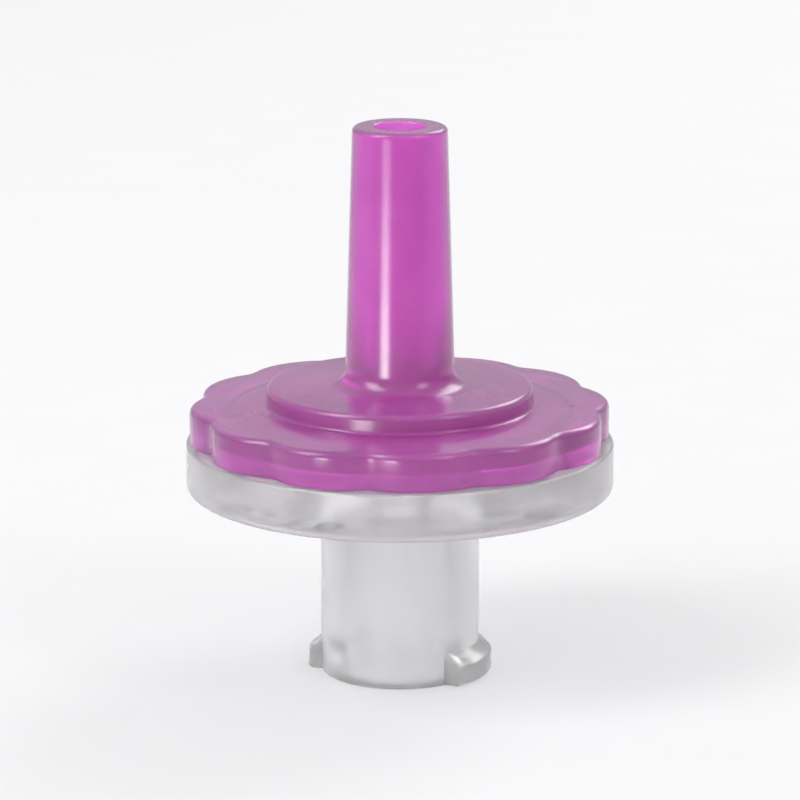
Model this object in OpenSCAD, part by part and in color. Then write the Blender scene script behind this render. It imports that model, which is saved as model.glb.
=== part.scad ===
// Syringe filter: a membrane disc clamped between two moulded halves that are welded at the rim.
// It stands on the open end of its inlet, with +Z along the flow, from the inlet to the nozzle.
// The inlet is a female Luer lock and the outlet a male Luer slip, both with the standard taper.

/* [Membrane] */
// Diameter of the membrane disc, the nominal size of the filter
membrane_d = 13; // [11:0.5:25]
// Thickness of the membrane
membrane_t = 0.15; // [0.1:0.01:0.3]
// Width of the membrane's edge that the two halves clamp
clamp_w = 1.4; // [0.8:0.1:2]

/* [Rims] */
// Width of the welded rims outside the membrane
rim_w = 2.5; // [1.9:0.1:4]
// Height of the inlet half's rim
inlet_rim_h = 1.8; // [1.6:0.1:3]
// Height of the outlet half's rim
outlet_rim_h = 1.6; // [1.6:0.1:3]
// Radius along the rims' outer edges
rim_round = 0.3; // [0.1:0.05:0.45]
// Number of lobes round the outlet half's rim
lobe_count = 12; // [8:1:18]
// Depth of the notches between the lobes
lobe_depth = 0.5; // [0.2:0.05:0.6]
// How far the lobes stay inside the inlet half's round rim
lobe_inset = 0.15; // [0.05:0.05:0.3]
// Width of the raised lip round the inlet half's printed face
lip_w = 0.6; // [0.5:0.05:0.9]
// Height of that lip
lip_h = 0.25; // [0.1:0.05:0.5]

/* [Faces] */
// Thickness of both halves' faces beside the boss
face_wall = 1.15; // [1:0.05:1.5]
// Diameter of the raised boss on the inlet half's face
inlet_boss_d = 11.2; // [9:0.1:12]
// Height of that boss
inlet_boss_h = 0.6; // [0.3:0.05:1.5]
// Diameter of the raised boss on the outlet half's face
outlet_boss_d = 11.2; // [8:0.1:13]
// Height of that boss
outlet_boss_h = 0.8; // [0.3:0.05:1.5]
// Radius along the bosses' edges
boss_round = 0.25; // [0.1:0.05:0.3]

/* [Luer inlet] */
// Length of the hub, from its open end to the boss
hub_l = 7.6; // [6.5:0.1:12]
// Outer diameter of the hub
hub_d = 6.7; // [6:0.1:7.2]
// Diameter of the bore at the open end
inlet_mouth_d = 4.3; // [4:0.01:4.6]
// Depth of the tapered bore
inlet_bore_l = 7.5; // [6:0.1:8]
// Width of the bevel at the bore's mouth
mouth_bevel = 0.15; // [0.05:0.05:0.3]
// Diameter of the hole from the bore to the space under the membrane
inlet_hole_d = 1.8; // [1:0.1:3]
// Diameter across the two lugs
lug_d = 7.8; // [7.5:0.05:8.5]
// Width of each lug
lug_w = 3.6; // [2.5:0.1:5]
// Height of each lug at its outer edge
lug_h = 0.9; // [0.5:0.1:1.5]
// Radius where the hub meets the boss
hub_fillet = 0.6; // [0.2:0.1:1]

/* [Luer outlet] */
// Length of the nozzle, from the boss to its tip
nozzle_l = 11; // [8:0.1:14]
// Diameter of the nozzle at its tip
nozzle_tip_d = 3.97; // [3.7:0.01:4.2]
// Diameter of the hole through the nozzle
nozzle_hole_d = 2.2; // [1.2:0.1:2.6]
// Radius round the nozzle's tip
tip_round = 0.2; // [0.1:0.05:0.4]
// Radius where the nozzle meets the boss
nozzle_fillet = 0.8; // [0.2:0.1:1.2]
// Growth of both Luer diameters for each millimetre of length
luer_taper = 0.06; // [0.04:0.01:0.08]

/* [Inside] */
// Number of ribs that spread the flow under the membrane
rib_count = 8; // [4:1:12]
// Width of those ribs
rib_w = 0.5; // [0.3:0.05:0.8]
// Gap between the ribs and the membrane
rib_gap = 0.12; // [0.05:0.01:0.3]
// Number of round ridges that carry the membrane
ridge_count = 4; // [3:1:6]
// Width of those ridges
ridge_w = 0.4; // [0.25:0.05:0.5]
// Number of channels across the ridges, towards the hole
drain_count = 6; // [4:1:12]
// Width of those channels
drain_w = 0.6; // [0.4:0.05:0.8]
// Width of the weld tongue between the rims
tongue_w = 0.6; // [0.4:0.05:0.7]
// Height of that tongue
tongue_h = 0.5; // [0.2:0.05:0.8]
// Clearance round the membrane and the tongue
fit_gap = 0.05; // [0.02:0.01:0.1]

/* [Print] */
// Number of groups of marks round the inlet half's face
print_groups = 3; // [1:1:4]
// Bare margin on each side of the ring of marks
print_margin = 0.4; // [0.3:0.05:0.8]
// Distance from one mark to the next
print_pitch = 1.5; // [1.2:0.05:1.8]
// Width of the marks' strokes
print_stroke = 0.26; // [0.15:0.01:0.3]
// Thickness of the ink
ink_t = 0.03; // [0.02:0.01:0.05]

/* [Hidden] */
$fn = 96;
eps = 0.01; // how far joined shapes overlap and cuts run past a face

// Heights above the open end of the inlet
inlet_face_z = hub_l + inlet_boss_h;          // the printed face, which looks down
joint_z = inlet_face_z + inlet_rim_h;         // where the two rims meet
membrane_top_z = joint_z + membrane_t;
outlet_face_z = joint_z + outlet_rim_h;
outlet_boss_z = outlet_face_z + outlet_boss_h;
tip_z = outlet_boss_z + nozzle_l;
inlet_chamber_z = inlet_face_z + face_wall;   // floor of the space under the membrane
outlet_chamber_z = outlet_face_z - face_wall; // top of the channels over the membrane

// Radii
wet_r = membrane_d / 2 - clamp_w;             // edge of the part that liquid passes
pocket_r = membrane_d / 2 + fit_gap;
rim_r = membrane_d / 2 + rim_w;
lobe_tip_r = rim_r - lobe_inset;
lobe_root_r = lobe_tip_r - lobe_depth;
hub_r = hub_d / 2;
inlet_boss_r = inlet_boss_d / 2;
outlet_boss_r = outlet_boss_d / 2;
tongue_in_r = (pocket_r + lobe_root_r - tongue_w) / 2;
tongue_out_r = tongue_in_r + tongue_w;
inlet_mouth_r = inlet_mouth_d / 2;
inlet_end_r = inlet_mouth_r - luer_taper * inlet_bore_l / 2;
nozzle_tip_r = nozzle_tip_d / 2;
nozzle_base_r = nozzle_tip_r + luer_taper * nozzle_l / 2;

// The ring of marks fills the flat face between the boss and the lip
print_band = rim_r - lip_w - inlet_boss_r;
print_h = print_band - 2 * print_margin;
print_r = inlet_boss_r + print_band / 2;
print_step = print_pitch / print_r * 180 / PI;
MARKS = ["loop", "bar", "dash", "loop", "dot", "bar"];

// Section of a ring: a rectangle between two radii and two heights
module section(r_in, r_out, z_low, z_high) {
    translate([r_in, z_low]) square([r_out - r_in, z_high - z_low]);
}

// The bit between a square corner at [x, z] and the arc that rounds it, on the side that
// to_r and to_z (1 or -1) point to. Added it fills an inner corner, cut it rounds an outer one.
module corner(x, z, radius, to_r, to_z) {
    translate([x, z]) mirror([to_r < 0 ? 1 : 0, 0]) mirror([0, to_z < 0 ? 1 : 0])
        difference() {
            translate([-eps, -eps]) square(radius + eps);
            translate([radius, radius]) circle(radius);
        }
}

// Copies its children evenly round the axis
module around(count) {
    for (i = [0 : count - 1]) rotate(i * 360 / count) children();
}

// Tapered bore, open downwards, with its bevel
module inlet_bore_section() {
    polygon([
        [0, -eps],
        [inlet_mouth_r + mouth_bevel, -eps],
        [inlet_mouth_r + mouth_bevel, 0],
        [inlet_mouth_r, mouth_bevel],
        [inlet_end_r, inlet_bore_l],
        [0, inlet_bore_l]
    ]);
}

// Hub, boss, face, rim, lip and weld tongue of the inlet half, turned about the axis
module inlet_shell() {
    rotate_extrude() difference() {
        union() {
            section(0, hub_r, 0, inlet_face_z);
            corner(hub_r, hub_l, hub_fillet, 1, -1);
            section(0, inlet_boss_r, hub_l, inlet_face_z + eps);
            section(0, rim_r, inlet_face_z, joint_z);
            section(rim_r - lip_w, rim_r, inlet_face_z - lip_h, inlet_face_z + eps);
            section(tongue_in_r, tongue_out_r, joint_z - eps, joint_z + tongue_h);
        }
        corner(inlet_boss_r, hub_l, boss_round, -1, 1);
        corner(rim_r, inlet_face_z - lip_h, rim_round, -1, 1);
        inlet_bore_section();
        section(0, inlet_hole_d / 2, inlet_bore_l - eps, joint_z);
        section(0, wet_r, inlet_chamber_z, joint_z + eps);
    }
}

// The two lugs at the hub's open end, with sloping backs, cut from one ring
module inlet_lugs() {
    difference() {
        intersection() {
            rotate_extrude() polygon([
                [inlet_mouth_r + mouth_bevel, 0],
                [lug_d / 2, 0],
                [lug_d / 2, lug_h],
                [hub_r - eps, lug_h + lug_d / 2 - hub_r],
                [inlet_mouth_r + mouth_bevel, lug_h]
            ]);
            translate([-lug_d, -lug_w / 2, -eps]) cube([2 * lug_d, lug_w, lug_d]);
        }
        rotate_extrude() inlet_bore_section();
    }
}

// Ribs on the floor of the space under the membrane, which spread the flow
module inlet_ribs() {
    rib_from_r = inlet_hole_d / 2 + rib_w;
    around(rib_count) translate([rib_from_r, -rib_w / 2, inlet_chamber_z - eps])
        cube([wet_r - rib_from_r + eps, rib_w, joint_z - rib_gap - inlet_chamber_z + eps]);
}

module inlet_housing() {
    color("whitesmoke") union() {
        inlet_shell();
        inlet_lugs();
        inlet_ribs();
    }
}

// Outline of the lobed rim: equal arcs that meet in notches
module lobed_outline() {
    half_chord = lobe_root_r * sin(180 / lobe_count);
    rise = lobe_tip_r - lobe_root_r * cos(180 / lobe_count);
    lobe_r = (rise * rise + half_chord * half_chord) / (2 * rise);
    circle(lobe_root_r - rim_round);
    around(lobe_count) translate([lobe_tip_r - lobe_r, 0]) circle(lobe_r);
}

// Rim, face, boss and nozzle of the outlet half, turned about the axis
module outlet_shell() {
    fillet_r = nozzle_tip_r + luer_taper * (nozzle_l - nozzle_fillet) / 2;
    rotate_extrude() difference() {
        union() {
            section(0, lobe_tip_r, joint_z, outlet_face_z);
            section(0, outlet_boss_r, outlet_face_z - eps, outlet_boss_z);
            corner(fillet_r, outlet_boss_z, nozzle_fillet, 1, 1);
            polygon([
                [0, outlet_boss_z - eps],
                [nozzle_base_r, outlet_boss_z - eps],
                [nozzle_base_r, outlet_boss_z],
                [nozzle_tip_r, tip_z],
                [0, tip_z]
            ]);
        }
        corner(lobe_tip_r, outlet_face_z, rim_round, -1, -1);
        corner(outlet_boss_r, outlet_boss_z, boss_round, -1, -1);
        corner(nozzle_tip_r, tip_z, tip_round, -1, -1);
        section(0, nozzle_hole_d / 2, joint_z - eps, tip_z + eps);
        section(0, pocket_r, joint_z - eps, membrane_top_z);
        section(0, wet_r, joint_z, outlet_chamber_z);
        section(tongue_in_r - fit_gap, tongue_out_r + fit_gap,
                joint_z - eps, joint_z + tongue_h + fit_gap);
    }
}

// Round ridges that carry the membrane, with channels across them that drain to the hole
module outlet_ridges() {
    spacing = (wet_r - nozzle_hole_d / 2) / (ridge_count + 1);
    difference() {
        rotate_extrude() for (i = [1 : ridge_count]) {
            middle_r = nozzle_hole_d / 2 + i * spacing;
            section(middle_r - ridge_w / 2, middle_r + ridge_w / 2,
                    membrane_top_z, outlet_chamber_z + eps);
        }
        around(drain_count) translate([0, -drain_w / 2, joint_z])
            cube([wet_r, drain_w, outlet_chamber_z - joint_z]);
    }
}

module outlet_housing() {
    color("mediumorchid") union() {
        intersection() {
            outlet_shell();
            translate([0, 0, joint_z - eps]) linear_extrude(tip_z - joint_z + 2 * eps)
                lobed_outline();
        }
        outlet_ridges();
    }
}

module membrane() {
    color("white") translate([0, 0, joint_z]) cylinder(h = membrane_t, d = membrane_d);
}

// A slot shape with round ends, upright
module slot_shape(wide, tall) {
    square([wide, tall - wide], center = true);
    for (side = [-1, 1]) translate([0, side * (tall - wide) / 2]) circle(d = wide);
}

// One mark of the print, upright in its own frame, with plain shapes only
module mark(shape) {
    mark_w = min(print_pitch - 2 * print_stroke, print_h - eps);
    if (shape == "bar") square([print_stroke, print_h], center = true);
    if (shape == "dash") square([mark_w, print_stroke], center = true);
    if (shape == "dot") translate([0, -print_h / 2 + print_stroke]) circle(print_stroke);
    if (shape == "loop") difference() {
        slot_shape(mark_w, print_h);
        slot_shape(mark_w - 2 * print_stroke, print_h - 2 * print_stroke);
    }
}

module print_marks() {
    color("black") translate([0, 0, inlet_face_z - ink_t]) linear_extrude(ink_t)
        for (group = [0 : print_groups - 1], i = [0 : len(MARKS) - 1])
            rotate(group * 360 / print_groups + i * print_step) translate([0, print_r])
                mark(MARKS[(group + i) % len(MARKS)]);
}

inlet_housing();
outlet_housing();
membrane();
print_marks();
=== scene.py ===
# %% [markdown]
# # Syringe filter with a 13 mm membrane
#
# A syringe filter is two small mouldings of polypropylene welded round a disc of filter membrane.
# The clear half has the hub that a syringe screws on to, and the magenta half has the nozzle that
# the filtered liquid leaves by. The filter stands here on its open hub, nozzle up.
#
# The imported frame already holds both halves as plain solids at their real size. This lesson makes
# their finished surfaces: soft moulded edges, rounded lobes, and plastic that light goes through.

# %% Load the frame
import math

import bmesh
import bpy
from mathutils import Matrix, Vector


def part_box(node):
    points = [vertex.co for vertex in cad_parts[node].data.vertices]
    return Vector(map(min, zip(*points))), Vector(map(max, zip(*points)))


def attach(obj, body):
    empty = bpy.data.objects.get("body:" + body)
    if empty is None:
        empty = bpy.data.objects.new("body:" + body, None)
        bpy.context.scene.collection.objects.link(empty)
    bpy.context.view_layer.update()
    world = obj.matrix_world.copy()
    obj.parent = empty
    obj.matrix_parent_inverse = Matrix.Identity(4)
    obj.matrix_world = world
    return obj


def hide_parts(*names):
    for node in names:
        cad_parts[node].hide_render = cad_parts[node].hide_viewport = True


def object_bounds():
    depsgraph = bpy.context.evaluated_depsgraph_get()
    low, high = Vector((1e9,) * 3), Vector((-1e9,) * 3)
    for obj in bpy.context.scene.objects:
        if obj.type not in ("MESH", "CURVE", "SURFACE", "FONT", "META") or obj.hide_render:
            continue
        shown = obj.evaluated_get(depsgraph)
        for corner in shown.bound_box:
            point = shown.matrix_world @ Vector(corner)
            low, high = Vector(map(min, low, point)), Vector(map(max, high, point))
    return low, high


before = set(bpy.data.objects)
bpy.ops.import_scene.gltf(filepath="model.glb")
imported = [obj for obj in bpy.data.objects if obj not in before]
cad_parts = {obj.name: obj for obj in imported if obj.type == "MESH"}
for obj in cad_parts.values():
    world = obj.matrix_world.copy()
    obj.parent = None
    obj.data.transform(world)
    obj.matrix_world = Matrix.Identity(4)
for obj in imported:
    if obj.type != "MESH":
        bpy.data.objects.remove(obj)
cad_lo, cad_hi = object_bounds()
MM = 0.001
print("nodes:", ", ".join(sorted(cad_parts)))
print("size in mm:", [round(side / MM, 2) for side in cad_hi - cad_lo])

# %% [markdown]
# ## Sizes that both halves share
#
# The heights and outer radii come from the boxes of the solids, so that the finished pieces can't
# drift away from them. What a box can't tell, such as a wall or a rounding, is named here in
# millimetres. Everything below works in millimetres and is turned into metres once, when a
# section's points are made.

# %% Read the sizes
inlet_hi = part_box("inlet_housing")[1]
outlet_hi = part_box("outlet_housing")[1]
film_lo, film_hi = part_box("membrane")
print_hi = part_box("print_marks")[1]

tip_z = outlet_hi.z / MM           # top of the nozzle
joint_z = film_lo.z / MM           # where the rims meet
film_top_z = film_hi.z / MM        # top of the membrane
film_r = film_hi.x / MM
rim_r = inlet_hi.x / MM            # round rim of the clear half
lobe_tip_r = outlet_hi.x / MM      # lobed rim of the magenta half
printed_z = print_hi.z / MM        # the clear half's printed face, which looks down

seam = 0.012                       # air between two faces that lie on each other
fit_gap = 0.05                     # room round the membrane and the tongue
clamp_w = 1.4                      # edge of the membrane that the halves hold
wet_r = film_r - clamp_w           # edge of the liquid's space, both sides of the membrane
pocket_r = film_r + fit_gap
tongue_r = 7.15                    # inner radius of the weld tongue
tongue_w = 0.6
tongue_h = 0.5
boss_r = 5.6                       # the step on both faces
face_wall = 1.15                   # thickness of both faces
luer_taper = 0.06                  # growth of a Luer diameter for each millimetre of length
print("joint at", round(joint_z, 2), "mm, rims", round(rim_r, 2), "and", round(lobe_tip_r, 2), "mm")

# %% [markdown]
# ## Turning a section
#
# Nearly everything on a filter is round, because its mould was turned on a lathe. So each half
# starts as the outline of its cut face: a few corners, each with its radius, height and rounding.
# A vertex bevel rounds the corners while the outline is still flat, where a corner is easy to
# reach, and one full spin then sweeps the outline into a closed solid. A Bevel modifier could round
# the finished solid instead, but it can't give every edge a radius of its own.

# %% Turn an outline about the axis
TURN_STEPS = 288                   # 24 to each of the 12 lobes
ROUND_STEPS = 5
SAME_POINT = 0.0004                # vertices nearer than this, in mm, become one


def turned(corners):
    solid = bmesh.new()
    points = [solid.verts.new((r * MM, 0, z * MM)) for r, z, rounding in corners]
    solid.faces.new(points)
    for point, (r, z, rounding) in zip(points, corners):
        if rounding:
            bmesh.ops.bevel(solid, geom=[point], offset=rounding * MM, offset_type="OFFSET",
                            segments=ROUND_STEPS, profile=0.5, affect="VERTICES", material=-1)
    bmesh.ops.delete(solid, geom=list(solid.faces), context="FACES_ONLY")
    bmesh.ops.spin(solid, geom=solid.verts[:] + solid.edges[:], cent=(0, 0, 0), axis=(0, 0, 1),
                   angle=2 * math.pi, steps=TURN_STEPS, use_merge=True)
    tidy(solid)
    return solid


def tidy(solid):
    bmesh.ops.remove_doubles(solid, verts=solid.verts, dist=SAME_POINT * MM)
    bmesh.ops.recalc_face_normals(solid, faces=solid.faces)


# %% [markdown]
# ## Straight bars across round parts
#
# The ribs and channels inside the filter are straight, so a spin can't make them. They are rows of
# cubes that a Boolean adds to the turned solid or cuts out of it. The bars run a little into the
# walls, because a Boolean is unsure about faces that lie exactly on one another.

# %% Make bars and combine solids
def star_of_bars(count, from_r, to_r, low, high, width):
    bars = bmesh.new()
    for turn in range(count):
        cube = bmesh.ops.create_cube(bars, size=1)["verts"]
        bmesh.ops.scale(bars, verts=cube, vec=((to_r - from_r) * MM, width * MM, (high - low) * MM))
        middle = Vector(((from_r + to_r) / 2, 0, (low + high) / 2)) * MM
        bmesh.ops.translate(bars, verts=cube, vec=middle)
        about_axis = Matrix.Rotation(turn * 2 * math.pi / count, 3, "Z")
        bmesh.ops.rotate(bars, verts=cube, cent=(0, 0, 0), matrix=about_axis)
    return bars


def combined(solid, tool, operation):
    objects = []
    for name, part in (("solid", solid), ("tool", tool)):
        mesh = bpy.data.meshes.new(name)
        part.to_mesh(mesh)
        part.free()
        objects.append(bpy.data.objects.new(name, mesh))
        bpy.context.scene.collection.objects.link(objects[-1])
    modifier = objects[0].modifiers.new("combine", "BOOLEAN")
    modifier.object = objects[1]
    modifier.operation = operation
    modifier.solver = "EXACT"
    graph = bpy.context.evaluated_depsgraph_get()
    result = bmesh.new()
    result.from_mesh(objects[0].evaluated_get(graph).to_mesh())
    for thing in objects:
        mesh = thing.data
        bpy.data.objects.remove(thing)
        bpy.data.meshes.remove(mesh)
    tidy(result)
    return result


# %% [markdown]
# ## Finishing a piece
#
# Every finished piece goes the same way: the bmesh becomes an object at the origin, its faces are
# shaded smooth, and a Weighted Normal modifier keeps the wide flat faces flat beside the narrow
# roundings. Then the piece gets its material, it is parented to the root body, and the solid that
# it stands for is hidden.

# %% Make a piece from a bmesh
SMOOTH_BELOW = math.radians(40)    # an edge that turns less is shaded smooth


def piece(name, solid, stands_for, material):
    triangles = sum(len(face.verts) - 2 for face in solid.faces)
    open_edges = sum(1 for edge in solid.edges if len(edge.link_faces) != 2)
    mesh = bpy.data.meshes.new(name)
    solid.to_mesh(mesh)
    solid.free()
    mesh.shade_smooth()
    mesh.set_sharp_from_angle(angle=SMOOTH_BELOW)
    thing = bpy.data.objects.new(name, mesh)
    bpy.context.scene.collection.objects.link(thing)
    weighted = thing.modifiers.new("flat faces", "WEIGHTED_NORMAL")
    weighted.keep_sharp = True
    mesh.materials.append(material)
    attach(thing, "root")
    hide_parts(stands_for)
    print(name, triangles, "triangles,", open_edges, "open edges")


# %% [markdown]
# ## Writing materials as sums
#
# A material is a graph of nodes, and long graphs are hard to read as code. This small class wraps
# one output of a node, so that `0.3 + 0.1 * grain` adds the Math nodes by itself. Every other node
# comes from `Finish.node`, which takes its type, its settings and its inputs.

# %% Shader values and finishes
class Wire:
    def __init__(self, finish, socket):
        self.finish = finish
        self.socket = socket

    def math(self, operation, *others, first=None):
        inputs = dict(enumerate([self if first is None else first, *others]))
        return self.finish.node("Math", {"operation": operation}, inputs)

    def __add__(self, other):
        return self.math("ADD", other)

    __radd__ = __add__

    def __sub__(self, other):
        return self.math("SUBTRACT", other)

    def __rsub__(self, other):
        return self.math("SUBTRACT", self, first=other)

    def __mul__(self, other):
        return self.math("MULTIPLY", other)

    __rmul__ = __mul__

    def __truediv__(self, other):
        return self.math("DIVIDE", other)


class Finish:
    def __init__(self, name):
        self.material = bpy.data.materials.new(name)
        self.material.use_nodes = True
        self.tree = self.material.node_tree
        self.tree.nodes.clear()

    def node(self, kind, settings=None, inputs=None, output=0):
        made = self.tree.nodes.new("ShaderNode" + kind)
        for key, value in (settings or {}).items():
            setattr(made, key, value)
        for key, value in (inputs or {}).items():
            if isinstance(value, Wire):
                self.tree.links.new(value.socket, made.inputs[key])
            else:
                made.inputs[key].default_value = value
        return Wire(self, made.outputs[output]) if made.outputs else made

    def place(self):
        """The point on the piece, in millimetres."""
        metres = self.node("TexCoord", output="Object")
        return self.node("VectorMath", {"operation": "SCALE"}, {0: metres, "Scale": 1 / MM})

    def stretched(self, place, x, y, z):
        return self.node("VectorMath", {"operation": "MULTIPLY"}, {0: place, 1: (x, y, z)})

    def noise(self, place, per_mm, detail=2.0, roughness=0.5):
        return self.node("TexNoise", {}, {"Vector": place, "Scale": per_mm, "Detail": detail,
                                          "Roughness": roughness})

    def step(self, value, low, high):
        """0 below low, 1 above high, a smooth rise between."""
        return self.node("MapRange", {"interpolation_type": "SMOOTHSTEP"},
                         {"Value": value, "From Min": low, "From Max": high})

    def mix(self, amount, first, second):
        return self.node("Mix", {"data_type": "RGBA"}, {0: amount, 6: first, 7: second}, output=2)

    def shown(self):
        """1 for a ray that shows a surface to the camera, straight, mirrored or through plastic."""
        rays = sum(self.node("LightPath", output=ray) for ray in
                   ("Is Camera Ray", "Is Glossy Ray", "Is Transmission Ray"))
        return rays.math("MINIMUM", 1.0)

    def finish_with(self, surface, volume=None):
        output = self.node("OutputMaterial", {}, {"Surface": surface})
        if volume:
            self.tree.links.new(volume.socket, output.inputs["Volume"])
        return self.material


# %% [markdown]
# ## The moulded plastic
#
# Polypropylene is never quite clear. Light goes through it and is scattered a little on the way,
# so it looks like frosted glass with milk in it. One Principled BSDF does both: the transmission
# weight sends part of the light through as in rough glass, and what is left goes to subsurface
# scattering. A volume that absorbs green makes the magenta deeper where the wall is thick. The
# mould's polished walls leave a smoother skin on the frosted body. That skin is a coat, which is
# stronger in some places than in others and which fine scratches take away.
#
# The surface of a moulding is a print of its mould. The turned faces of the mould leave rings,
# about eight to a millimetre, and its polished walls leave a very fine grain along the axis. Both
# are far too shallow to model, so they are bump.
#
# The body's roughness varies only between 0.20 and 0.26. The denoiser treats a surface in another
# way from about 0.27 on, and a roughness that crosses this line makes specks. So the scratches,
# which need a stronger contrast, are drawn in the coat and in the bump.

# %% Moulded plastic
RING_PITCH = 0.13                  # mm from one ring of the mould to the next
BUMP_DEPTH = 0.006                 # mm
PLASTIC_IOR = 1.49
SKIN_ROUGHNESS = 0.2


def hairlines(paint, place, per_mm, turned_by):
    """Thin scratches: the lines where a stretched noise passes through its middle."""
    turned_place = paint.node("Mapping", {}, {"Vector": place, "Rotation": turned_by,
                                              "Scale": (1, 0.12, 0.3)})
    field = paint.noise(turned_place, per_mm, detail=1)
    near = 1 - paint.step((field - 0.5).math("ABSOLUTE"), 0.0, 0.01)
    broken = paint.step(paint.noise(place, 0.6), 0.56, 0.64)
    return near * broken


def moulded_plastic(name, colour, deep_colour, frost, through, milk_mm, absorbed=None):
    paint = Finish(name)
    place = paint.place()
    flat_place = paint.stretched(place, 1, 1, 0)
    radius = paint.node("VectorMath", {"operation": "LENGTH"}, {0: flat_place}, output="Value")

    clouds = paint.noise(place, 0.35, detail=3)
    grain = paint.noise(place, 9, detail=4, roughness=0.65)
    drawn = paint.noise(paint.stretched(place, 1, 1, 0.06), 6, detail=3)
    wobble = paint.noise(place, 0.8)
    rings = (radius / RING_PITCH * 2 * math.pi + wobble * 4).math("SINE")
    scratches = (hairlines(paint, place, 1.1, (0.3, 0.2, 0.7))
                 + hairlines(paint, place, 0.8, (1.1, 0.5, 2.2)))

    tint = paint.mix(paint.step(clouds, 0.3, 0.7), deep_colour, colour)
    rough = frost + clouds * 0.04 + grain * 0.02
    gloss = 0.25 + clouds * 0.3 - scratches * 0.3
    height = clouds * 3 + rings * 0.15 + grain * 0.6 + drawn * 0.5 - scratches * 0.2
    normal = paint.node("Bump", {}, {
        "Strength": 0.35, "Distance": BUMP_DEPTH * MM, "Height": height})
    surface = paint.node("BsdfPrincipled", {"subsurface_method": "RANDOM_WALK"}, {
        "Base Color": tint, "Roughness": rough, "Normal": normal, "IOR": PLASTIC_IOR,
        "Transmission Weight": through, "Coat Weight": gloss, "Coat Roughness": SKIN_ROUGHNESS,
        "Subsurface Weight": 1.0, "Subsurface Radius": (1, 1, 1),
        "Subsurface Scale": milk_mm * MM})
    volume = None
    if absorbed:
        volume_colour, per_metre = absorbed
        volume = paint.node("VolumeAbsorption", {}, {"Color": volume_colour, "Density": per_metre})
    return paint.finish_with(surface, volume)


milky_plastic = moulded_plastic("milky_plastic", (0.99, 0.985, 0.99, 1), (0.97, 0.96, 0.975, 1),
                                frost=0.2, through=0.78, milk_mm=0.8)
tinted_plastic = moulded_plastic("tinted_plastic", (0.87, 0.33, 0.8, 1), (0.8, 0.26, 0.73, 1),
                                 frost=0.2, through=0.82, milk_mm=0.9,
                                 absorbed=((0.91, 0.1, 0.88, 1), 720))

# %% [markdown]
# ## The clear half
#
# The clear half is one moulding: hub, boss, face, rim and the tongue that is melted into the other
# half. Going round its section, the outline starts at the mouth of the tapered bore, climbs inside
# to the space under the membrane, goes out over the tongue to the rim, and comes back below.

# %% Section of the clear half
hub_r = 3.35
inlet_boss_h = 0.6
hub_top_z = printed_z - inlet_boss_h  # the boss's face, at the root of the hub
hub_fillet = 0.6
mouth_r = 2.15                     # standard Luer bore
bore_l = 7.5
bore_end_r = mouth_r - luer_taper * bore_l / 2
mouth_bevel = 0.15
inlet_hole_r = 0.9
floor_z = printed_z + face_wall    # floor of the space under the membrane
lip_w = 0.6                        # the raised edge round the printed face
lip_h = 0.25
lug_r = 3.9
lug_h = 0.9
lug_back_z = lug_h + lug_r - hub_r  # the lugs' backs slope at 45 degrees
hub_rows_z = lug_back_z + 0.3      # a row above the lugs, so that their edges don't shade the hub
clear_top_z = joint_z - seam
ink_sink = 0.006                   # the ink bites this far into the plastic
face_z = printed_z - ink_sink

clear_corners = [
    (mouth_r + mouth_bevel, 0, 0.03),
    (mouth_r, mouth_bevel, 0.05),
    (bore_end_r, bore_l, 0.25),
    (inlet_hole_r, bore_l, 0.1),
    (inlet_hole_r, floor_z, 0.1),
    (wet_r, floor_z, 0.12),
    (wet_r, clear_top_z, 0.06),
    (tongue_r, clear_top_z, 0.05),
    (tongue_r, clear_top_z + tongue_h, 0.12),
    (tongue_r + tongue_w, clear_top_z + tongue_h, 0.12),
    (tongue_r + tongue_w, clear_top_z, 0.05),
    (rim_r, clear_top_z, 0.12),
    (rim_r, face_z - lip_h, 0.3),
    (rim_r - lip_w, face_z - lip_h, 0.12),
    (rim_r - lip_w, face_z, 0.1),
    (boss_r, face_z, 0.12),
    (boss_r, hub_top_z, 0.25),
    (hub_r, hub_top_z, hub_fillet),
    (hub_r, hub_rows_z, 0),
    (hub_r, 0, 0.1),
]
clear_half = turned(clear_corners)
print("clear half:", len(clear_half.verts), "vertices after the spin")

# %% [markdown]
# ## The ribs under the membrane
#
# Eight ribs on the floor of the clear half spread the liquid under the membrane. They show through
# the plastic from below.

# %% Add the ribs
rib_count = 8
rib_w = 0.5
rib_gap = 0.12                     # air between the ribs and the membrane
bite = 0.1                         # how far the ribs run into the floor and the wall
ribs = star_of_bars(rib_count, inlet_hole_r + rib_w, wet_r + bite, floor_z - bite,
                    joint_z - rib_gap, rib_w)
clear_half = combined(clear_half, ribs, "UNION")
print(rib_count, "ribs,", rib_w, "mm wide")

# %% [markdown]
# ## The two lugs
#
# The lugs screw into the syringe's collar. Extruding them out of the hub's faces would be quick,
# but those faces are narrow, and a bevel can't be wider than its narrowest face. So a lug starts
# as a cube, cut across into strips. Its outer end follows the lugs' radius, its back is a cone at
# 45 degrees, and its root lies inside the hub's wall. Bevelled, and copied half a turn round, the
# two are joined to the hub by a Boolean.

# %% Make the lugs
lug_w = 3.6
lug_round = 0.14
lug_round_steps = 4
lug_strips = 12
lug_root_x = 2.5                   # inside the hub's wall
lug_low_z = 0.02                   # clear of the hub's end face, for the Boolean
corner_angle = math.radians(30)    # an edge that turns more is a corner of the lug


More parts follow.
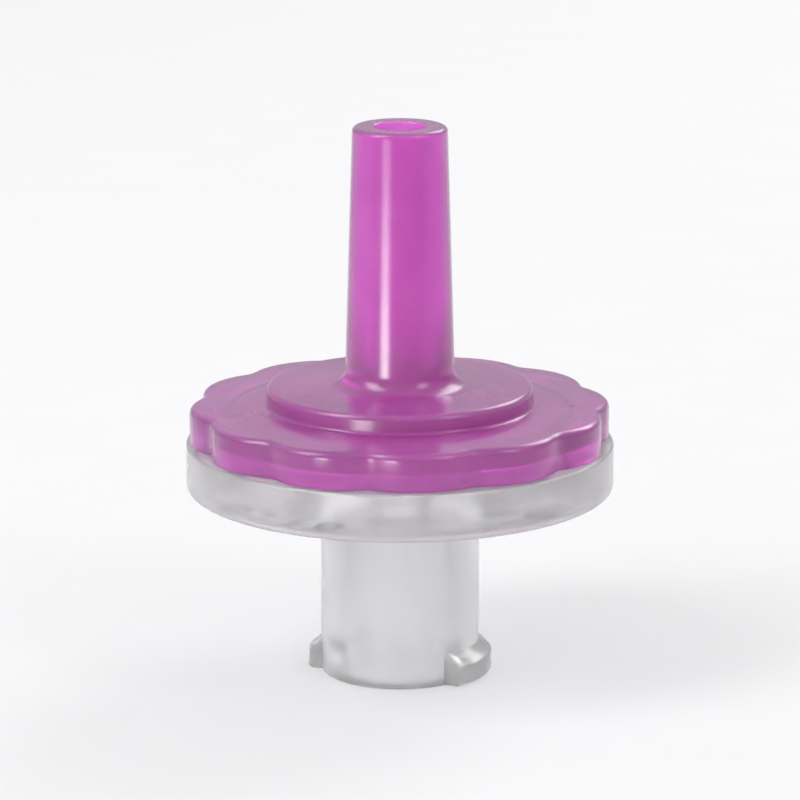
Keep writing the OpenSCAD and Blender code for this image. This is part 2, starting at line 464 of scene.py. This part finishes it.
def one_lug():
    lug = bmesh.new()
    bmesh.ops.create_cube(lug, size=1)
    across = [edge for edge in lug.edges if edge.verts[0].co.y != edge.verts[1].co.y]
    bmesh.ops.subdivide_edges(lug, edges=across, cuts=lug_strips - 1, use_grid_fill=True)
    for vert in lug.verts:
        y = vert.co.y * lug_w
        x = math.sqrt(lug_r ** 2 - y ** 2) if vert.co.x > 0 else lug_root_x
        back_z = lug_h + lug_r - math.hypot(x, y)
        vert.co = Vector((x, y, back_z if vert.co.z > 0 else lug_low_z)) * MM
    return lug


def is_outer_edge(edge):
    outer = max(vert.co.x for vert in edge.verts) > (lug_root_x + 0.01) * MM
    return outer and edge.calc_face_angle() > corner_angle


lugs = one_lug()
lug_edges = [edge for edge in lugs.edges if is_outer_edge(edge)]
bmesh.ops.bevel(lugs, geom=lug_edges, offset=lug_round * MM, offset_type="OFFSET",
                segments=lug_round_steps, profile=0.5, affect="EDGES", material=-1,
                clamp_overlap=True)
second = bmesh.ops.duplicate(lugs, geom=lugs.verts[:] + lugs.edges[:] + lugs.faces[:])["geom"]
second = [item for item in second if isinstance(item, bmesh.types.BMVert)]
bmesh.ops.rotate(lugs, verts=second, cent=(0, 0, 0), matrix=Matrix.Rotation(math.pi, 3, "Z"))
tidy(lugs)
clear_half = combined(clear_half, lugs, "UNION")
print("rounded", len(lug_edges), "edges of each lug")
piece("clear_half", clear_half, "inlet_housing", milky_plastic)

# %% [markdown]
# ## The magenta half
#
# The magenta half is turned in the same way. Its section runs down the nozzle's hole, over the
# ridges that carry the membrane, out past the groove that takes the tongue, and back over the rim,
# the boss and the long nozzle.

# %% Section of the magenta half
nozzle_hole_r = 1.1
nozzle_tip_r = 1.985               # standard Luer tip
outlet_rim_h = 1.6
outlet_boss_h = 0.8
outlet_face_z = joint_z + outlet_rim_h
outlet_boss_z = outlet_face_z + outlet_boss_h
nozzle_root_r = nozzle_tip_r + luer_taper * (tip_z - outlet_boss_z) / 2
ceiling_z = outlet_face_z - face_wall  # roof of the space over the membrane
magenta_low_z = joint_z + seam
ridge_low_z = film_top_z + seam
ridge_count = 4
ridge_w = 0.4

magenta_corners = [(nozzle_hole_r, tip_z, 0.1), (nozzle_hole_r, ceiling_z, 0.1)]
ridge_spacing = (wet_r - nozzle_hole_r) / (ridge_count + 1)
for ridge in range(1, ridge_count + 1):
    ridge_in = nozzle_hole_r + ridge * ridge_spacing - ridge_w / 2
    magenta_corners += [
        (ridge_in, ceiling_z, 0.03),
        (ridge_in, ridge_low_z, 0.06),
        (ridge_in + ridge_w, ridge_low_z, 0.06),
        (ridge_in + ridge_w, ceiling_z, 0.03),
    ]
magenta_corners += [
    (wet_r, ceiling_z, 0.05),
    (wet_r, ridge_low_z, 0.04),
    (pocket_r, ridge_low_z, 0.03),
    (pocket_r, magenta_low_z, 0.03),
    (tongue_r - fit_gap, magenta_low_z, 0.05),
    (tongue_r - fit_gap, magenta_low_z + tongue_h + fit_gap, 0.12),
    (tongue_r + tongue_w + fit_gap, magenta_low_z + tongue_h + fit_gap, 0.12),
    (tongue_r + tongue_w + fit_gap, magenta_low_z, 0.05),
    (lobe_tip_r, magenta_low_z, 0.08),
    (lobe_tip_r, outlet_face_z, 0.3),
    (boss_r, outlet_face_z, 0.15),
    (boss_r, outlet_boss_z, 0.25),
    (nozzle_root_r, outlet_boss_z, 0.8),
    (nozzle_tip_r, tip_z, 0.22),
]
magenta_half = turned(magenta_corners)
print("nozzle", round(2 * nozzle_root_r, 2), "mm wide at its root,", 2 * nozzle_tip_r, "mm at its tip")

# %% [markdown]
# ## The lobes
#
# Twelve shallow lobes give the fingers a grip. Each is an arc of one circle, and the notches
# between them are soft, because a mould cut with a round tool has no sharp corner there. The rim
# is round after the spin, so each of its vertices is drawn in towards the axis to the lobe's
# outline. The move fades to nothing at the weld groove, and the flat face hides it.

# %% Draw the rim in to the lobes
LOBES = 12
lobe_depth = 0.5                   # of a notch before it is softened
notch_w = math.radians(2.6)        # the softened stretch on each side of a notch
half_lobe = math.pi / LOBES
root_r = lobe_tip_r - lobe_depth
half_chord = root_r * math.sin(half_lobe)
rise = lobe_tip_r - root_r * math.cos(half_lobe)
lobe_r = (rise ** 2 + half_chord ** 2) / (2 * rise)
centre_r = lobe_tip_r - lobe_r
still_r = tongue_r + tongue_w + 0.15  # nothing inside this radius moves
full_r = lobe_tip_r - 0.4          # everything outside this one moves all the way
rim_top_z = outlet_face_z + 0.01   # the boss and the nozzle above it stay round
small = 0.001


def lobe_arc(angle):
    return centre_r * math.cos(angle) + math.sqrt(lobe_r ** 2 - (centre_r * math.sin(angle)) ** 2)


def lobed_radius(angle):
    """Radius of the outline at an angle from the middle of a lobe."""
    start = half_lobe - notch_w
    if angle < start:
        return lobe_arc(angle)
    slope = (lobe_arc(start) - lobe_arc(start - small)) / small
    past = angle - start
    return lobe_arc(start) + slope * (past - past ** 2 / (2 * notch_w))


for vert in magenta_half.verts:
    radius = vert.co.xy.length / MM
    share = min(max((radius - still_r) / (full_r - still_r), 0), 1)
    if share and vert.co.z / MM < rim_top_z:
        angle = math.atan2(vert.co.y, vert.co.x) % (2 * half_lobe)
        angle = min(angle, 2 * half_lobe - angle)
        drawn_in = share * (lobe_tip_r - lobed_radius(angle))
        vert.co.xy *= (radius - drawn_in) / radius
print("notches", round(lobe_tip_r - lobed_radius(half_lobe), 2), "mm deep")

# %% [markdown]
# ## The drain channels
#
# Six channels cross the ridges, so that the liquid can run to the hole. They are cut a hair
# deeper than the ridges are high.

# %% Cut the channels
drain_count = 6
drain_w = 0.6
drain_from_r = nozzle_hole_r - 0.5
drain_to_r = wet_r - 0.1
drain_top_z = ceiling_z + 0.03
channels = star_of_bars(drain_count, drain_from_r, drain_to_r, joint_z, drain_top_z, drain_w)
magenta_half = combined(magenta_half, channels, "DIFFERENCE")
piece("magenta_half", magenta_half, "outlet_housing", tinted_plastic)

# %% [markdown]
# ## The membrane and the print
#
# The membrane is a plain disc and the print is flat ink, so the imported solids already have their
# true shape. They only need finishes. A membrane is a sponge of pores much finer than a hair,
# which makes it dull and white, and pad print is a thin film that is never quite even.

# %% Finish the membrane
def membrane_finish():
    paint = Finish("porous_white")
    place = paint.place()
    pores = paint.noise(place, 22, detail=4, roughness=0.7)
    clouds = paint.noise(place, 0.6)
    tint = paint.mix(clouds, (0.86, 0.86, 0.84, 1), (0.92, 0.92, 0.91, 1))
    normal = paint.node("Bump", {}, {"Strength": 0.5, "Distance": 0.01 * MM, "Height": pores})
    surface = paint.node("BsdfPrincipled", {}, {
        "Base Color": tint, "Roughness": 0.75 + pores * 0.2, "Normal": normal,
        "Subsurface Weight": 1.0, "Subsurface Radius": (1, 1, 1), "Subsurface Scale": 0.25 * MM})
    return paint.finish_with(surface)


def ink_finish():
    paint = Finish("pad_print")
    place = paint.place()
    specks = paint.step(paint.noise(place, 14, detail=3), 0.66, 0.72)
    film = paint.noise(place, 3)
    tint = paint.mix(specks, (0.012, 0.011, 0.014, 1), (0.16, 0.15, 0.16, 1))
    normal = paint.node("Bump", {}, {
        "Strength": 0.3, "Distance": 0.004 * MM, "Height": film + specks})
    surface = paint.node("BsdfPrincipled", {}, {
        "Base Color": tint, "Roughness": 0.35 + film * 0.25, "Normal": normal})
    return paint.finish_with(surface)


def dress(node_name, material):
    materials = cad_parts[node_name].data.materials
    materials.clear()
    materials.append(material)
    print(node_name, "keeps its solid and has the finish", material.name)


dress("membrane", membrane_finish())
dress("print_marks", ink_finish())

# %% [markdown]
# ## The floor
#
# The filter stands on a plain white floor in soft light. The floor is one wide disc, and it fills
# the whole view. For the camera it is part emitter, so that it looks white without more light on
# the object, and part diffuse, so that it still takes the filter's shadow.

# %% Floor
FLOOR_R = 2.0                      # metres
FLOOR_GAP = 0.02                   # mm, so that the hub's end doesn't lie in the floor's face
FLOOR_GLOW = 0.4                   # share of the emitter


def floor_finish():
    paint = Finish("floor")
    grain = paint.noise(paint.place(), 0.2)
    matt = paint.node("BsdfDiffuse", {}, {
        "Color": paint.mix(grain, (0.8, 0.8, 0.81, 1), (0.83, 0.83, 0.84, 1))})
    lit = paint.node("Emission", {}, {"Color": (1, 1, 1, 1), "Strength": 0.95})
    glow = paint.shown() * FLOOR_GLOW
    return paint.finish_with(paint.node("MixShader", {}, {0: glow, 1: matt, 2: lit}))


disc = bmesh.new()
bmesh.ops.create_circle(disc, cap_ends=True, segments=96, radius=FLOOR_R)
bmesh.ops.translate(disc, verts=disc.verts, vec=(0, 0, -FLOOR_GAP * MM))
floor_mesh = bpy.data.meshes.new("floor")
disc.to_mesh(floor_mesh)
disc.free()
floor = bpy.data.objects.new("floor", floor_mesh)
bpy.context.scene.collection.objects.link(floor)
floor_mesh.materials.append(floor_finish())
print("floor", 2 * FLOOR_R, "m across")

# %% [markdown]
# ## The sky
#
# The world is a pale sky that lights the filter evenly from all sides. As the camera sees it, in
# the open, mirrored or through the plastic, it is darker near the horizon than overhead. The
# plastic then has something to mirror, and its rounded edges stand out from its faces.

# %% Sky
SKY_LIGHT = 0.62                   # what lights the filter
HORIZON = 0.52                     # what is seen or mirrored, low down
ZENITH = 0.95                      # and overhead


class Sky(Finish):
    def __init__(self, name):
        self.world = bpy.data.worlds.new(name)
        self.world.use_nodes = True
        self.tree = self.world.node_tree
        self.tree.nodes.clear()
        bpy.context.scene.world = self.world


sky = Sky("studio")
up = sky.node("SeparateXYZ", {}, {0: sky.node("TexCoord", output="Generated")}, output="Z")
visible = HORIZON + sky.step(up, 0.0, 0.7) * (ZENITH - HORIZON)
light = SKY_LIGHT + sky.shown() * (visible - SKY_LIGHT)
background = sky.node("Background", {}, {"Color": (0.98, 0.98, 1.0, 1), "Strength": light})
sky.node("OutputWorld", {}, {"Surface": background})
print("sky strength", SKY_LIGHT, "as light, and", HORIZON, "to", ZENITH, "as it is seen")

# %% [markdown]
# ## The lamps
#
# Three large soft lamps stand round the filter: one high on the left, a weaker one on the right,
# and one behind, which shines through the plastic towards the camera. Seen from a little above, an
# upright wall mirrors what lies near the floor. So a small strip stands low in front, and it draws
# the bright streak down the nozzle. It stays below the disc, where it can't make the faces that
# look up glare. All the powers are low, because the lamps stand close.

# %% Lamps
centre = (cad_lo + cad_hi) / 2


def direction(azimuth, elevation):
    """The way from the filter to something at these angles, in degrees; 0 is the front."""
    azimuth = math.radians(azimuth)
    elevation = math.radians(elevation)
    return Vector((math.cos(elevation) * math.sin(azimuth),
                   -math.cos(elevation) * math.cos(azimuth), math.sin(elevation)))


def soft_lamp(name, azimuth, elevation, distance, wide, tall, watts, spread=180):
    lamp = bpy.data.lights.new(name, "AREA")
    lamp.shape = "RECTANGLE"
    lamp.size = wide
    lamp.size_y = tall
    lamp.energy = watts
    lamp.spread = math.radians(spread)
    thing = bpy.data.objects.new(name, lamp)
    bpy.context.scene.collection.objects.link(thing)
    away = direction(azimuth, elevation)
    thing.location = centre + away * distance
    thing.rotation_euler = away.to_track_quat("Z", "Y").to_euler()
    thing.visible_camera = False
    print(name, "lamp", watts, "W,", distance, "m away")


soft_lamp("key", azimuth=-40, elevation=42, distance=0.40, wide=0.16, tall=0.28, watts=0.8)
soft_lamp("fill", azimuth=75, elevation=36, distance=0.45, wide=0.12, tall=0.20, watts=0.3)
soft_lamp("strip", azimuth=-8, elevation=-1.7, distance=0.20, wide=0.06, tall=0.01, watts=0.018,
          spread=90)
soft_lamp("back", azimuth=165, elevation=38, distance=0.42, wide=0.24, tall=0.18, watts=0.6)

# %% [markdown]
# ## The camera
#
# A long lens from a little above, as one looks at something small on a shelf. The frame is set
# from the filter's own height, so the view fits whatever size the solids have.

# %% Camera
CAMERA_AZIMUTH = 24
CAMERA_ELEVATION = 14
LENS = 200                         # mm
FILL = 0.74                        # share of the picture's height that the filter takes

camera_data = bpy.data.cameras.new("camera")
camera_data.lens = LENS
camera_data.clip_start = 0.005
camera_data.clip_end = 10
camera = bpy.data.objects.new("camera", camera_data)
bpy.context.scene.collection.objects.link(camera)
back = direction(CAMERA_AZIMUTH, CAMERA_ELEVATION)
tilt = math.radians(CAMERA_ELEVATION)
tall = (cad_hi.z - cad_lo.z) * math.cos(tilt) + (cad_hi.x - cad_lo.x) * math.sin(tilt) / 2
distance = tall / FILL * LENS / camera_data.sensor_width
camera.location = centre + back * distance
camera.rotation_euler = back.to_track_quat("Z", "Y").to_euler()
bpy.context.scene.camera = camera
bpy.context.scene.view_settings.view_transform = "Standard"
print("camera", round(distance, 3), "m away")
